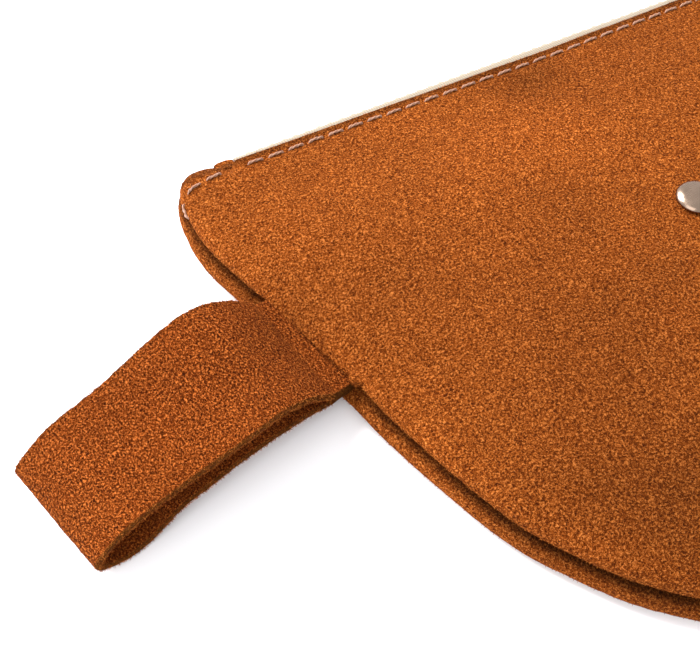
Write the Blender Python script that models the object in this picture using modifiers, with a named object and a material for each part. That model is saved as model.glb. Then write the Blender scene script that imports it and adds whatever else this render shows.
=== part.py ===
"""A round-bottomed suede zip pouch with a folded wrist loop in its left side seam.

The pouch lies on its back: +Z is up out of the front panel, +X runs along the zip
and +Y points from the round bottom to the zip. The origin is the middle of the flat
back. Sizes below are in millimetres and are turned into metres as meshes are made.
"""
import math

import bmesh
import bpy
import numpy as np

MM = 0.001

# The pouch's outline, as its right half from the middle of the bottom to the top corner.
TOP = 76.0
RIM_HALF = [(0, -76), (28, -70.8), (52, -57), (69.3, -37), (79.3, -14),
            (86, 10), (92.2, 33), (97.6, 52), (98.2, 63), (93, TOP)]
RIM_STEPS = 60
CORNER_TURN = 14.0

# Leather, seam and the rolled edges: (distance in from the rim, height).
SUEDE = 1.2
SEAM_Z = 5.5
SEAM_GAP = 0.3
SEAM_FLANGE = 7.0
CREASE_IN = 3.6
FRONT_Z = SEAM_Z + SEAM_GAP / 2
BACK_Z = SEAM_Z - SEAM_GAP / 2
FRONT_ROLL = [(SEAM_FLANGE, FRONT_Z), (CREASE_IN, FRONT_Z), (2.5, 6.3), (2.0, 7.4), (2.7, 8.8),
              (4.6, 9.8), (9.0, 10.8)]
BACK_ROLL = [(SEAM_FLANGE, BACK_Z), (CREASE_IN, BACK_Z), (1.7, 5.1), (0.4, 4.1), (0.0, 2.7),
             (0.6, 1.1), (2.2, 0.15), (5.0, 0.0), (9.0, 0.0)]
FRONT_DOME = [(9, 10.8), (25, 12.2), (45, 13.1), (65, 13.5), (140, 13.5)]
INNER_STEPS = [0.14, 0.32, 0.55, 0.76, 0.9, 1.0]
SPINE_SHARE = 0.45

# The mouth, where the two panels meet the zip.
MOUTH_Z = 10.4
MOUTH_LIFT = 1.0
MOUTH_RISE = 40.0
MOUTH_EDGE = [(0, 70.8), (60, 71.8), (81, 72.2), (85.5, TOP), (100, TOP)]
MOUTH_WARP = 24.0

# Linings.
LINING = 0.4
LINING_GAP = 1.5
LINING_IN = 8.0
LINING_MOUTH_IN = 4.0

# Zip.
ZIP_Y = 74.8
ZIP_Z = (MOUTH_Z + MOUTH_LIFT) / 2
CHAIN_HALF = 78.0
TOOTH_PITCH = 3.0
TOOTH_WIDTH = 1.2
TOOTH_DEEP = 2.2
ROW_INNER, CORD_INNER, CORD_OUTER = 0.45, 1.2, 1.9
TAPE = 0.5
TAPE_HALF = 81.1
TAPE_SECTION = [(-16.8, 2.95), (-2.2, 2.95), (-0.6, 2.75), (-0.05, 2.2)]
STOP_LENGTH = 2.2
TAB_X = (81.4, 85.7)
TAB_Y = (72.5, 75.6)
TAB_Z = (2.6, 8.8)

# Slider and puller. The slider rests at the closed, right-hand end.
SLIDER_LENGTH = 9.0
SLIDER_X = CHAIN_HALF - 0.4 - SLIDER_LENGTH / 2
OUTER_PLATE = (76.2, 77.1, 3.5)
INNER_PLATE = (72.5, 73.4, 2.3)
WEB = 0.4
BAIL_SPAN, BAIL_RISE, BAIL_WIRE = 5.4, 2.6, 0.5
PULLER_LENGTH, PULLER_WIDTH, PULLER_THICK = 26.0, 6.4, 1.0
PULLER_Y = OUTER_PLATE[1] + 1.05

# Wrist loop: its centre line as (distance out from the rim, height). The fold is a little askew.
LOOP_WIDTH = 25.0
LOOP_LEATHER = 1.5
LOOP_TURN = math.radians(12)
LOOP_ROOT = (-89.3, 22.4)
LOOP_PATH = [(1.8, 6.7), (4, 8.9), (8, 12.2), (13.5, 14.6), (20, 14.7), (30, 13.3), (40, 12.2),
             (47.5, 10.9), (53, 8.0), (55.6, 5.3), (54.9, 2.9), (52, 1.4), (48.5, 1.0), (43.5, 2.2),
             (38, 4.9), (33, 6.0), (24, 6.5), (15.4, 6.7), (8, 6.0), (4, 4.9), (1.8, 4.5)]
LOOP_REACH = 56.0
LOOP_SKEW = 0.065
TAIL_OUT, TAIL_IN = 1.3, 6.2
SLOT_CLEAR = 0.3

# Stud in the middle of the front.
STUD = (0.0, 13.5)
STUD_RADIUS, STUD_RISE, POST_RADIUS = 4.5, 2.0, 1.2
WASHER_RADIUS, WASHER_THICK = 4.0, 0.8

# Threads.
THREAD_RADIUS = 0.25
THREAD_CLEAR = 0.3
STITCH_IN = 2.2
STITCH_SIDE = 16.0


# ---------------------------------------------------------------- helpers

def smooth(t):
    """A smooth step from 0 to 1."""
    t = np.clip(t, 0, 1)
    return t * t * (3 - 2 * t)


def spline(points, per_span=12):
    """A Catmull-Rom curve through the points."""
    p = np.array(points, float)
    p = np.vstack([2 * p[0] - p[1], p, 2 * p[-1] - p[-2]])
    t = np.linspace(0, 1, per_span, endpoint=False)[:, None]
    out = []
    for a, b, c, d in zip(p, p[1:], p[2:], p[3:]):
        out.append(0.5 * (2 * b + (c - a) * t + (2 * a - 5 * b + 4 * c - d) * t ** 2
                          + (3 * b - a - 3 * c + d) * t ** 3))
    return np.vstack(out + [p[-2:-1]])


def resample(points, count):
    """The same line in count equal steps."""
    steps = np.linalg.norm(np.diff(points, axis=0), axis=1)
    along = np.concatenate([[0], np.cumsum(steps)])
    places = np.linspace(0, along[-1], count + 1)
    return np.column_stack([np.interp(places, along, points[:, k]) for k in range(points.shape[1])])


def profile(points, value):
    """A piecewise linear height or offset."""
    xs, ys = zip(*points)
    return np.interp(value, xs, ys)


def material(name, color, roughness, metallic=0.0):
    """A named Principled material."""
    found = bpy.data.materials.get(name)
    if found:
        return found
    made = bpy.data.materials.new(name)
    made.use_nodes = True
    shader = made.node_tree.nodes["Principled BSDF"]
    shader.inputs["Base Color"].default_value = (*color, 1)
    shader.inputs["Roughness"].default_value = roughness
    shader.inputs["Metallic"].default_value = metallic
    return made


def suede():
    return material("tan_suede", (0.47, 0.16, 0.035), 0.95)


def lining_cloth():
    return material("lining_cotton", (0.55, 0.47, 0.36), 0.9)


def tape_cloth():
    return material("zip_tape", (0.72, 0.66, 0.58), 0.85)


def moulded():
    return material("zip_plastic", (0.80, 0.74, 0.66), 0.4)


def nickel():
    return material("satin_nickel", (0.68, 0.66, 0.63), 0.3, 1.0)


def thread():
    return material("pale_thread", (0.66, 0.48, 0.40), 0.7)


def add_mesh(name, bm, look, collection, smooth_angle=35):
    """An object from a bmesh in millimetres, whose scale is left at 1."""
    bmesh.ops.scale(bm, vec=(MM, MM, MM), verts=bm.verts)
    mesh = bpy.data.meshes.new(name)
    bm.to_mesh(mesh)
    bm.free()
    mesh.shade_smooth()
    mesh.set_sharp_from_angle(angle=math.radians(smooth_angle))
    obj = bpy.data.objects.new(name, mesh)
    if look:
        mesh.materials.append(look)
    collection.objects.link(obj)
    return obj


def box(name, low, high, look, collection, bevel=0.0):
    """A box between two corners, with its edges rounded."""
    low, high = np.array(low, float), np.array(high, float)
    bm = bmesh.new()
    bmesh.ops.create_cube(bm, size=1.0)
    bmesh.ops.scale(bm, vec=high - low, verts=bm.verts)
    bmesh.ops.translate(bm, vec=(high + low) / 2, verts=bm.verts)
    obj = add_mesh(name, bm, look, collection)
    if bevel:
        edge = obj.modifiers.new("edge", "BEVEL")
        edge.width = bevel * MM
        edge.segments = 2
    return obj


def grid_mesh(rows):
    """A bmesh sheet through a table of points, each row as long as the others."""
    bm = bmesh.new()
    table = [[bm.verts.new(p) for p in row] for row in rows]
    for upper, lower in zip(table, table[1:]):
        for a, b, c, d in zip(upper, upper[1:], lower[1:], lower):
            bm.faces.new((a, b, c, d))
    return bm


def solidify(obj, thickness, offset=-1.0):
    """Give a sheet its thickness, on the side its faces turn away from."""
    shell = obj.modifiers.new("thickness", "SOLIDIFY")
    shell.thickness = thickness * MM
    shell.offset = offset
    shell.use_even_offset = True
    return obj


def boolean(obj, other, operation):
    """Join or cut an object with another."""
    step = obj.modifiers.new(operation.lower(), "BOOLEAN")
    step.operation = operation
    step.solver = "EXACT"
    step.object = other
    return obj


def cutter(obj):
    """Mark a helper that the model leaves out."""
    obj.hide_render = True
    obj.display_type = "WIRE"
    return obj


def tube(name, points, radius, look, collection):
    """A round thread through points, as a curve with closed ends."""
    curve = bpy.data.curves.new(name, "CURVE")
    curve.dimensions = "3D"
    curve.bevel_depth = radius * MM
    curve.bevel_resolution = 1
    curve.use_fill_caps = True
    line = curve.splines.new("POLY")
    line.points.add(len(points) - 1)
    for point, place in zip(line.points, points):
        point.co = (*(np.array(place) * MM), 1)
    curve.materials.append(look)
    obj = bpy.data.objects.new(name, curve)
    collection.objects.link(obj)
    return obj


# ---------------------------------------------------------------- the pouch's surfaces

def rim_line():
    """The whole rim, from the left top corner round the bottom to the right one."""
    left = [(-x, y) for x, y in RIM_HALF[:0:-1]]
    return spline(left + RIM_HALF)


def rim_frame(steps=RIM_STEPS):
    """Points along the rim and the direction into the pouch at each."""
    line = resample(rim_line(), steps)
    tangent = np.gradient(line, axis=0)
    tangent /= np.linalg.norm(tangent, axis=1)[:, None]
    inward = np.column_stack([-tangent[:, 1], tangent[:, 0]])
    to_end = (TOP - line[:, 1]) / CORNER_TURN
    level = np.column_stack([-np.sign(line[:, 0]), np.zeros(len(line))])
    share = smooth(1 - to_end)[:, None]
    inward = inward * (1 - share) + level * share
    return line, inward / np.linalg.norm(inward, axis=1)[:, None]


def rim_distance(points):
    """How far each point is in from the rim."""
    line = resample(rim_line(), 500)
    gaps = np.linalg.norm(points[:, None, :] - line[None, :, :], axis=2)
    return gaps.min(axis=1)


def mouth_edge(x):
    """The y of the panels' edge along the zip."""
    return profile(MOUTH_EDGE, np.abs(x))


def warp_mouth(points):
    """Pull the straight top edge in to the line that the zip leaves."""
    x, y = points[:, 0], points[:, 1]
    fade = 1 - smooth((TOP - y) / MOUTH_WARP)
    return np.column_stack([x, y + (mouth_edge(x) - TOP) * fade])


def front_top(points, distance):
    """Height of the front panel's outer face inside its rolled edge."""
    dome = profile(FRONT_DOME, distance)
    rise = smooth((TOP - points[:, 1]) / MOUTH_RISE)
    return MOUTH_Z + (dome - MOUTH_Z) * rise


def back_under(points):
    """Height of the back panel's outer face: flat, and lifted a little at the mouth."""
    return MOUTH_LIFT * (1 - smooth((TOP - points[:, 1] - 6) / 16))


def plan_rows(distances, steps=RIM_STEPS, top_in=0.0):
    """Rows of plan points from the rim towards the mouth, before the mouth is warped."""
    line, inward = rim_frame(steps)
    target = np.column_stack([line[:, 0] * SPINE_SHARE, np.full(len(line), TOP)])
    columns = [line + inward * d for d in distances]
    start = columns[-1]
    columns += [start + (target - start) * t for t in INNER_STEPS]
    rows = np.stack(columns, axis=1)
    rows[..., 1] = np.minimum(rows[..., 1], TOP)
    low = rows[..., 1].min()
    rows[..., 1] = low + (rows[..., 1] - low) * (TOP - top_in - low) / (TOP - low)
    return rows


def shell_rows(roll, height, steps=RIM_STEPS, top_in=0.0):
    """A panel's outer face: its rolled edge, then its inside by the height function."""
    rows = plan_rows([d for d, _ in roll], steps, top_in)
    flat = rows.reshape(-1, 2)
    tops = height(flat, rim_distance(flat)).reshape(rows.shape[:2])
    count = len(roll)
    edge = tops[:, count - 1]
    for k, (_, z) in enumerate(roll):
        share = (z - roll[0][1]) / (roll[-1][1] - roll[0][1])
        tops[:, k] = roll[0][1] + (edge - roll[0][1]) * share
    plan = warp_mouth(flat).reshape(rows.shape)
    return np.concatenate([plan, tops[..., None]], axis=2)


def panel(name, rows, thickness, face_up, look, collection):
    """A sheet with its outer face on the table of points and its thickness inside."""
    bm = grid_mesh(rows[::-1] if face_up else rows)
    obj = add_mesh(name, bm, look, collection)
    return solidify(obj, thickness)


def lining_rows(roll, sign, outer, steps=40):
    """A lining's face towards its panel, clear of the panel and of the zip tape."""
    tape_face = ZIP_Z + sign * (TAPE_SECTION[0][1] - TAPE / 2 - SEAM_GAP)

    def height(points, distance):
        near = 1 - smooth((TOP - points[:, 1] - 22) / 12)
        free = outer(points, distance) - sign * (SUEDE + LINING_GAP)
        beyond = np.maximum(sign * (free - tape_face), 0)
        return free - sign * beyond * near
    return shell_rows(roll, height, steps, LINING_MOUTH_IN)


# ---------------------------------------------------------------- sub-parts

def make_panels(parts, cutters):
    """The front and back panels, with the slot for the loop's tail and the stud's hole."""
    front = panel("front_panel", shell_rows(FRONT_ROLL, front_top), SUEDE, True, suede(), parts)
    back = panel("back_panel", shell_rows(BACK_ROLL, lambda p, d: back_under(p)),
                 SUEDE, False, suede(), parts)
    slot = loop_block("loop_slot", -SEAM_FLANGE - 0.6, 6.0, SLOT_CLEAR, None, cutters)
    hole = stud_hole(cutters)
    for shell in (front, back):
        boolean(shell, cutter(slot), "DIFFERENCE")
    boolean(front, cutter(hole), "DIFFERENCE")


def make_linings(parts):
    """The two lining sheets inside the panels."""
    front_edge = [(LINING_IN, 6.4), (8.6, 7.6), (11.0, 8.1)]
    back_edge = [(LINING_IN, 4.6), (8.6, 3.4), (11.0, 2.7)]
    front = lining_rows(front_edge, 1, front_top)
    back = lining_rows(back_edge, -1, lambda p, d: back_under(p))
    panel("front_lining", front, LINING, True, lining_cloth(), parts)
    panel("back_lining", back, LINING, False, lining_cloth(), parts)


def make_tapes(parts):
    """The two halves of the zip tape."""
    for name, side in (("zip_tape_front", 1), ("zip_tape_back", -1)):
        section = [(ZIP_Y + y, ZIP_Z + side * z) for y, z in TAPE_SECTION]
        rows = [[(x, y, z) for y, z in section] for x in (-TAPE_HALF, TAPE_HALF)]
        obj = add_mesh(name, grid_mesh(rows), tape_cloth(), parts)
        solidify(obj, TAPE, 0.0)


def make_chains(parts):
    """Two rows of teeth, each with the cord that carries them, as toothed outlines."""
    count = int(2 * CHAIN_HALF / TOOTH_PITCH)
    for name, side, shift in (("zip_chain_front", 1, 0.0), ("zip_chain_back", -1, 0.5)):
        outline = [(-CHAIN_HALF, CORD_OUTER), (-CHAIN_HALF, CORD_INNER)]
        for k in range(count):
            x = -CHAIN_HALF + TOOTH_PITCH * (k + shift) + 0.3
            outline += [(x, CORD_INNER), (x, ROW_INNER), (x + TOOTH_WIDTH, ROW_INNER),
                        (x + TOOTH_WIDTH, CORD_INNER)]
        outline += [(CHAIN_HALF, CORD_INNER), (CHAIN_HALF, CORD_OUTER)]
        curve = bpy.data.curves.new(name, "CURVE")
        curve.dimensions = "2D"
        curve.fill_mode = "BOTH"
        curve.extrude = TOOTH_DEEP / 2 * MM
        line = curve.splines.new("POLY")
        line.points.add(len(outline) - 1)
        for point, (x, z) in zip(line.points, outline):
            point.co = (x * MM, side * z * MM, 0, 1)
        line.use_cyclic_u = True
        curve.materials.append(moulded())
        obj = bpy.data.objects.new(name, curve)
        obj.location = (0, ZIP_Y * MM, ZIP_Z * MM)
        obj.rotation_euler = (math.pi / 2, 0, 0)
        parts.objects.link(obj)


def make_stops(parts):
    """The stops at both ends of the chain and the suede tabs that close the mouth's ends."""
    near, far = CHAIN_HALF + 0.4, CHAIN_HALF + 0.4 + STOP_LENGTH
    deep = TOOTH_DEEP / 2 + 0.1
    for name, side in (("zip_top_stop_front", 1), ("zip_top_stop_back", -1)):
        heights = sorted((ZIP_Z + side * ROW_INNER, ZIP_Z + side * CORD_OUTER))
        box(name, (near, ZIP_Y - deep, heights[0]), (far, ZIP_Y + deep, heights[1]),
            moulded(), parts, 0.25)
    box("zip_bottom_stop", (-far, ZIP_Y - deep, ZIP_Z - CORD_INNER - 0.4),
        (-near, ZIP_Y + deep, ZIP_Z + CORD_INNER + 0.4), moulded(), parts, 0.3)
    for name, side in (("zip_end_tab_left", -1), ("zip_end_tab_right", 1)):
        ends = sorted((side * TAB_X[0], side * TAB_X[1]))
        box(name, (ends[0], TAB_Y[0], TAB_Z[0]), (ends[1], TAB_Y[1], TAB_Z[1]), suede(), parts, 0.6)


def make_slider(parts, cutters):
    """The slider: two plates, the web between the rows and the bail for the puller."""
    half = SLIDER_LENGTH / 2
    y0, y1, wide = OUTER_PLATE
    slider = box("zip_slider", (SLIDER_X - half, y0, ZIP_Z - wide), (SLIDER_X + half, y1, ZIP_Z + wide),
                 nickel(), parts, 0.35)
    y2, y3, narrow = INNER_PLATE
    inner = box("slider_inner_plate", (SLIDER_X - half, y2, ZIP_Z - narrow),
                (SLIDER_X + half, y3, ZIP_Z + narrow), None, cutters, 0.25)
    web = box("slider_web", (SLIDER_X - 1, y3 - 0.3, ZIP_Z - WEB / 2),
              (SLIDER_X + half - 0.6, y0 + 0.3, ZIP_Z + WEB / 2), None, cutters)
    for other in (inner, web, slider_bail(cutters)):
        boolean(slider, cutter(other), "UNION")


def slider_bail(cutters):
    """The bail: a square arch standing on the outer plate, along the zip."""
    half, wire = BAIL_SPAN / 2, BAIL_WIRE
    foot, crown = OUTER_PLATE[1] - 0.3, OUTER_PLATE[1] + BAIL_RISE
    low = (SLIDER_X - half, foot, ZIP_Z - wire)
    arch = box("slider_bail", low, (SLIDER_X + half, crown, ZIP_Z + wire), None, cutters)
    eye = box("slider_bail_eye", (SLIDER_X - half + 2 * wire, foot - 1, ZIP_Z - 2 * wire),
              (SLIDER_X + half - 2 * wire, crown - 2 * wire + 0.1, ZIP_Z + 2 * wire), None, cutters)
    return boolean(arch, cutter(eye), "DIFFERENCE")


def make_puller(parts, cutters):
    """The puller: a tab with a window at one end, whose end bar lies under the bail."""
    bar = 0.45
    window = 3.3
    width = PULLER_WIDTH / 2
    y0, y1 = PULLER_Y - PULLER_THICK / 2, PULLER_Y + PULLER_THICK / 2
    puller = box("zip_puller", (SLIDER_X - PULLER_LENGTH, y0, ZIP_Z - width),
                 (SLIDER_X + bar, y1, ZIP_Z + width), nickel(), parts)
    eye = box("puller_window", (SLIDER_X - bar - window, y0 - 1, ZIP_Z - 1.0),
              (SLIDER_X - bar, y1 + 1, ZIP_Z + 1.0), None, cutters)
    grip = box("puller_grip", (SLIDER_X - PULLER_LENGTH + 3, y0 - 1, ZIP_Z - 1.4),
               (SLIDER_X - PULLER_LENGTH + 14, y1 + 1, ZIP_Z + 1.4), None, cutters, 0.9)
    boolean(puller, cutter(eye), "DIFFERENCE")
    boolean(puller, cutter(grip), "DIFFERENCE")
    edge = puller.modifiers.new("edge", "BEVEL")
    edge.width = 0.2 * MM
    edge.limit_method = "ANGLE"


def loop_frame():
    """The loop's root on the rim, its outward direction and its width direction."""
    out = np.array([-math.cos(LOOP_TURN), -math.sin(LOOP_TURN), 0])
    across = np.array([-out[1], out[0], 0])
    return np.array([*LOOP_ROOT, 0]), out, across


def loop_block(name, start, end, clear, look, collection):
    """A block at the loop's root, from start to end outwards, as deep as its two layers."""
    root, out, across = loop_frame()
    half = LOOP_WIDTH / 2 + clear
    thick = LOOP_LEATHER + SEAM_GAP / 2 + clear
    bm = bmesh.new()
    bmesh.ops.create_cube(bm, size=1.0)
    for vert in bm.verts:
        t = start if vert.co.x < 0 else end
        place = root + out * t + across * (half * 2 * vert.co.y)
        place[2] = SEAM_Z + thick * 2 * vert.co.z
        vert.co = place
    return add_mesh(name, bm, look, collection)


def make_loop(parts):
    """The folded strip of the wrist loop and the tail that is sewn into the seam."""
    root, out, across = loop_frame()
    line = resample(spline(LOOP_PATH, 6), 44)
    rows = []
    for t, z in line:
        skew = LOOP_SKEW * (t / LOOP_REACH) ** 2
        ends = [root + out * (t - skew * side) + across * side for side in (-LOOP_WIDTH / 2, LOOP_WIDTH / 2)]
        rows.append([(x, y, z) for x, y, _ in ends])
    obj = add_mesh("wrist_loop", grid_mesh(rows), suede(), parts)
    solidify(obj, LOOP_LEATHER, 0.0)
    tail = loop_block("wrist_loop_tail", -TAIL_IN, TAIL_OUT, 0.0, suede(), parts)
    edge = tail.modifiers.new("edge", "BEVEL")
    edge.width = 0.3 * MM


def turned(name, outline, place, look, collection, steps=24):
    """A turned piece from a half section that runs down its outer side."""
    bm = bmesh.new()
    verts = [bm.verts.new((r, 0, z)) for r, z in outline]
    for a, b in zip(verts, verts[1:]):
        bm.edges.new((a, b))
    obj = add_mesh(name, bm, look, collection)
    obj.location = np.array(place) * MM
    turn = obj.modifiers.new("turn", "SCREW")
    turn.steps = turn.render_steps = steps
    turn.use_merge_vertices = True
    turn.merge_threshold = 0.00001
    return obj


def stud_height():
    """Height of the front panel under the stud."""
    place = np.array([STUD])
    return float(front_top(place, rim_distance(place))[0])


def stud_hole(cutters):
    """The hole that the stud's post passes through."""
    reach, radius = 4.0, POST_RADIUS + 0.3
    outline = [(0, reach), (radius, reach), (radius, -reach), (0, -reach)]
    return turned("stud_hole", outline, (*STUD, stud_height()), None, cutters, 16)


def make_stud(parts):
    """The domed stud with its post, and the washer behind the leather."""
    under = SUEDE + SEAM_GAP + WASHER_THICK
    rim = [(STUD_RADIUS * math.cos(a), SEAM_GAP + 0.5 + (STUD_RISE - 0.5) * math.sin(a))
           for a in np.linspace(math.pi / 2, 0, 7)]
    rim[0] = (0, SEAM_GAP + STUD_RISE)
    outline = rim + [(STUD_RADIUS, SEAM_GAP), (POST_RADIUS, SEAM_GAP), (POST_RADIUS, -under), (0, -under)]
    place = (*STUD, stud_height())
    turned("stud_cap", outline, place, nickel(), parts)
    hole = POST_RADIUS + 0.2
    top, low = -SUEDE - SEAM_GAP, -SUEDE - SEAM_GAP - WASHER_THICK
    ring = [(hole, top), (WASHER_RADIUS, top), (WASHER_RADIUS, low), (hole, low), (hole, top)]
    turned("stud_washer", ring, place, nickel(), parts)


def make_threads(parts):
    """The topstitching along both sides of the mouth and the thread of the side seam."""
    line, inward = rim_frame(240)
    along_y = TOP - STITCH_IN
    corner = 93 - STITCH_IN - 2.4
    side = np.linspace(TOP - STITCH_SIDE, along_y - 1.5, 6)
    turn = CREASE_IN + 1.4
    left = [(np.interp(y, line[119::-1, 1], line[119::-1, 0]) + turn, y) for y in side]
    top = [(x, mouth_edge(x) - STITCH_IN) for x in np.linspace(-corner + 2, corner - 2, 41)]
    right = [(-x, y) for x, y in left[::-1]]
    path = np.array(left + top + right)
    lift = THREAD_CLEAR + THREAD_RADIUS
    front = front_top(path, rim_distance(path))
    tube("topstitch_front", [(x, y, z + lift) for (x, y), z in zip(path, front)],
         THREAD_RADIUS, thread(), parts)
    back = [(x, y, MOUTH_LIFT - lift) for x, y in top]
    tube("topstitch_back", back, THREAD_RADIUS, thread(), parts)
    seam = [(*(p + n * (SEAM_FLANGE + 0.6)), SEAM_Z) for p, n in zip(line, inward)
            if p[1] < TAB_Y[0] - 8]
    tube("seam_thread", seam[::4], THREAD_RADIUS, thread(), parts)


def main():
    for obj in list(bpy.data.objects):
        bpy.data.objects.remove(obj, do_unlink=True)
    parts = bpy.data.collections.new("suede_zip_pouch")
    cutters = bpy.data.collections.new("cutters")
    for collection in (parts, cutters):
        bpy.context.scene.collection.children.link(collection)
    make_panels(parts, cutters)
    make_linings(parts)
    make_tapes(parts)
    make_chains(parts)
    make_stops(parts)
    make_slider(parts, cutters)
    make_puller(parts, cutters)
    make_loop(parts)
    make_stud(parts)
    make_threads(parts)


main()
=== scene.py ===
"""The looks of a round-bottomed suede zip pouch with a folded wrist loop in its side seam.

Every surface is worked out in millimetres in the frame's own axes: +X runs along the zip,
+Y from the round bottom to the zip and +Z up out of the front panel. Meshes are turned
into metres as they are made. The outline, the rolled edges and the loop's route stay close
to the design's own, so each piece lies where its CAD node does.
"""
import math

import bmesh
import bpy
import numpy as np
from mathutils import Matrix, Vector
from mathutils.bvhtree import BVHTree
from mathutils.geometry import delaunay_2d_cdt
from mathutils.kdtree import KDTree


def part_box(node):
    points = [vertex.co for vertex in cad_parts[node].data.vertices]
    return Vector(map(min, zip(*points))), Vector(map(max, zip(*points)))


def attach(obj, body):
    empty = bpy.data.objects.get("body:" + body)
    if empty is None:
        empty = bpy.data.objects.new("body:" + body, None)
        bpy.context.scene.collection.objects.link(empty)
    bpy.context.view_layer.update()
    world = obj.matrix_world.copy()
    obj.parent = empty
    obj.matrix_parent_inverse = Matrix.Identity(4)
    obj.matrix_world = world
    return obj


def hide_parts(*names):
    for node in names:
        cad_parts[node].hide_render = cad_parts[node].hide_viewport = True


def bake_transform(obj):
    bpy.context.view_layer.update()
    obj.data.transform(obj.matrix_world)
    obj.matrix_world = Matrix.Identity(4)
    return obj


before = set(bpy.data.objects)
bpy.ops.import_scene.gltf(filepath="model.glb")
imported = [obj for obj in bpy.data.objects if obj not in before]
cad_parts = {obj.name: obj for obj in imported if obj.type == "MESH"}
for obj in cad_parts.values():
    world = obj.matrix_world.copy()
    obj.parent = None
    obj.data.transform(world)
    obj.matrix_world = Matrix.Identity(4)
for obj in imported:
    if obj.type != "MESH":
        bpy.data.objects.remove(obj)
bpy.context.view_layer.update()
MM = 0.001

# The pouch's outline, as its right half from the middle of the bottom round the corner to the mouth.
TOP = 76.0
RIM_HALF = [(0, -76), (28, -70.8), (52, -57), (69.3, -37), (79.3, -14), (86, 10), (92.2, 33),
            (97.6, 52), (98.2, 63), (96.8, 70.5), (94.2, 74.4), (90, TOP), (81, TOP)]
CORNER = (95.5, 73.0)
CORNER_TIGHTER, CORNER_REACH = 0.55, 11.0

# Leather and the rolled edges: (distance in from the rim, height).
SUEDE = 1.2
SEAM_Z = 5.5
FRONT_ROLL = [(7.0, 5.62), (5.0, 5.62), (3.6, 5.68), (2.5, 6.3), (2.0, 7.4), (2.7, 8.8),
              (4.6, 9.8), (9.0, 10.8)]
BACK_ROLL = [(7.0, 5.38), (5.0, 5.38), (3.6, 5.35), (1.7, 5.1), (0.4, 4.1), (0.0, 2.7),
             (0.6, 1.1), (2.2, 0.15), (5.0, 0.0), (9.0, 0.0)]
FRONT_DOME = [(9, 10.8), (25, 12.2), (45, 13.1), (65, 13.5), (100, 13.5), (140, 13.5)]
# How far the loop's layers lift the edge, and how far above and below the seam the rolled edge's painted
# highlight is brightest.
LOOP_ROOM = 1.7
PAINTED_HIGHLIGHT_FROM_SEAM = 3.0

# The mouth, where the panels meet the zip.
MOUTH_Z = 10.4
MOUTH_LIFT = 1.0
MOUTH_RISE = 40.0
MOUTH_EDGE = [(0, 70.8), (60, 71.8), (81, 72.2)]
OPEN_FROM, OPEN_TO = 88.0, 81.0

# Zip.
ZIP_Y = 74.8
ZIP_Z = (MOUTH_Z + MOUTH_LIFT) / 2
CHAIN_HALF = 78.0
TOOTH_PITCH = 3.0
TAPE = 0.5
TAPE_HALF = 81.1
TAPE_SECTION = [(-16.8, 2.95), (-8.0, 2.95), (-2.2, 2.95), (-0.6, 2.75), (-0.05, 2.2)]
TOOTH = [(1.95, 0.55, 0.95), (1.85, 0.68, 1.10), (1.25, 0.70, 1.12), (1.05, 0.60, 1.05),
         (0.70, 0.42, 0.98), (0.35, 0.42, 0.98), (0.05, 0.55, 1.05), (-0.30, 0.62, 1.06),
         (-0.55, 0.55, 1.0), (-0.70, 0.36, 0.8)]
TOOTH_SIDES = 16
CORD_Z, CORD_RADIUS = 1.45, 0.42
SLIDER_X = 73.1
SLIDER_HALF = 4.5
OUTER_PLATE, INNER_PLATE, WEDGE = (76.15, 77.1), (72.5, 73.4), (73.2, 76.4)
PULLER_Y, PULLER_THICK = 78.15, 1.0
PULLER_LENGTH = 26.0

# Wrist loop: its centre line as (distance out from the rim, height). The fold is a little askew.
LOOP_WIDTH = 25.0
LOOP_LEATHER = 1.5
LOOP_TURN = math.radians(12)
LOOP_ROOT = (-89.3, 22.4)
LOOP_PATH = [(-5.5, 6.35), (-2, 6.4), (1.8, 6.9), (4, 8.9), (8, 12.2), (13.5, 14.6), (20, 14.7),
             (30, 13.3), (40, 12.2), (47.5, 10.9), (53, 8.0), (55.6, 5.3), (54.9, 2.9), (52, 1.4),
             (48.5, 1.0), (43.5, 2.2), (38, 4.9), (33, 6.0), (24, 6.5), (15.4, 6.7), (8, 6.0),
             (4, 4.9), (1.8, 4.5), (-2, 4.65), (-5.5, 4.65)]
LOOP_REACH = 56.0
LOOP_SKEW = 0.065
LOOP_STEP = 0.33
# Near its root the upper layer spreads, and its far edge stands up.
ROOT_SPREAD, FAR_RISE = 0.07, 3.4
ROOT_AT, ROOT_REACH = 17.0, 17.0

# Stud and stitches.
STUD = (0.0, 13.5)
STUD_RISE = 2.0
STITCHES, STITCH_PITCH, STITCH_GAP, STITCH_IN = 32, 5.0, 0.7, 2.3
THREAD_RADIUS = 0.3
CORNER_STITCHES = [((85.6, 69.6, 10), (89.8, 69.4, 10)), ((90.8, 69.2, 10), (94.4, 67.9, 8.6)),
                   ((95.0, 66.8, 8.0), (95.9, 62.9, 7.4))]

# Camera, in millimetres, and its lens.
CAMERA_AT = (-129.4, -76.1, 169.0)
CAMERA_TO = (-79.4, 20.3, 8.0)
CAMERA_LENS = 50.0

# Loose fibres: on each panel's roll, mouth and field, and on the loop's cut edges and all over it.
PANEL_FIBRES = (6500, 1200, 2600)
LOOP_FIBRES = (5200, 4200)

# How fine the meshes are.
RIM_COLUMNS = 640
ROLL_STEPS = 4
FIELD_STEP, MOUTH_STEP = 1.1, 0.6
LOOP_ROWS, LOOP_END_ROWS = 400, 24
PLY_SIDES = 7

# Repeatable draws are whole numbers below this.
WHOLE = 65536


# ---------------------------------------------------------------- curves and noise

def smooth(t):
    """A smooth step from 0 to 1."""
    t = np.clip(t, 0, 1)
    return t * t * (3 - 2 * t)


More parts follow.
